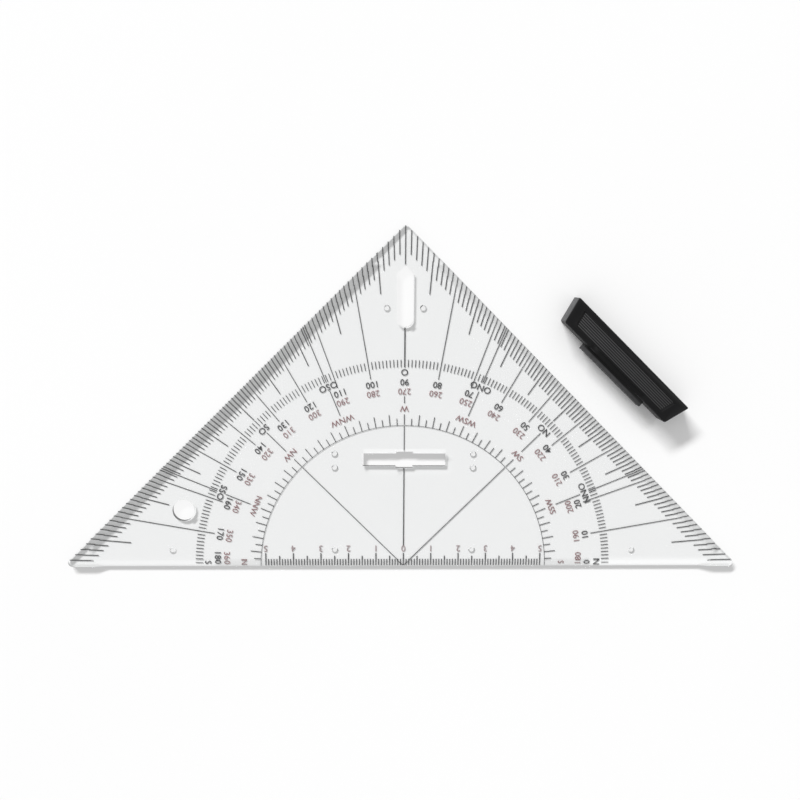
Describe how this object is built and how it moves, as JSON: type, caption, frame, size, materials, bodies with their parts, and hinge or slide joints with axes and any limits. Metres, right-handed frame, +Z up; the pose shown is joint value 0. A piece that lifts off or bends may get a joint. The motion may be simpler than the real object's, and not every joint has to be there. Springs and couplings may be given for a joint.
{
  "type": "navigation set square",
  "caption": "Clear right-angled navigation set square with degree, compass and centimetre scales and a removable black handle lying beside it",
  "frame": {"origin": "The printed zero point in the middle of the base edge, on the surface that the part rests on", "axes": "+X runs along the base edge to the 0 degree end, +Y runs from the base edge to the right-angled corner, +Z is up out of the plate's printed face as it is read"},
  "size_m": [0.2418, 0.1224, 0.008],
  "materials": {
    "clear_plastic": "polished clear acrylic",
    "black_plastic": "fine satin moulding",
    "black_ink": "flat printed ink"
  },
  "bodies": {
    "set_square": {"plate": "clear_plastic", "leg_degree_ticks": "black_ink", "ten_degree_lines": "black_ink", "protractor_ring_ticks": "black_ink", "compass_lines": "black_ink", "compass_ring": "black_ink", "centre_lines": "black_ink", "centimetre_scale": "black_ink"},
    "loose_handle": {"handle": "black_plastic"}
  },
  "joints": [
    {"name": "handle_lift", "type": "slide", "parent": "set_square", "child": "loose_handle", "axis": [0, 0, 1], "range_m": [0, 0.04]}
  ]
}
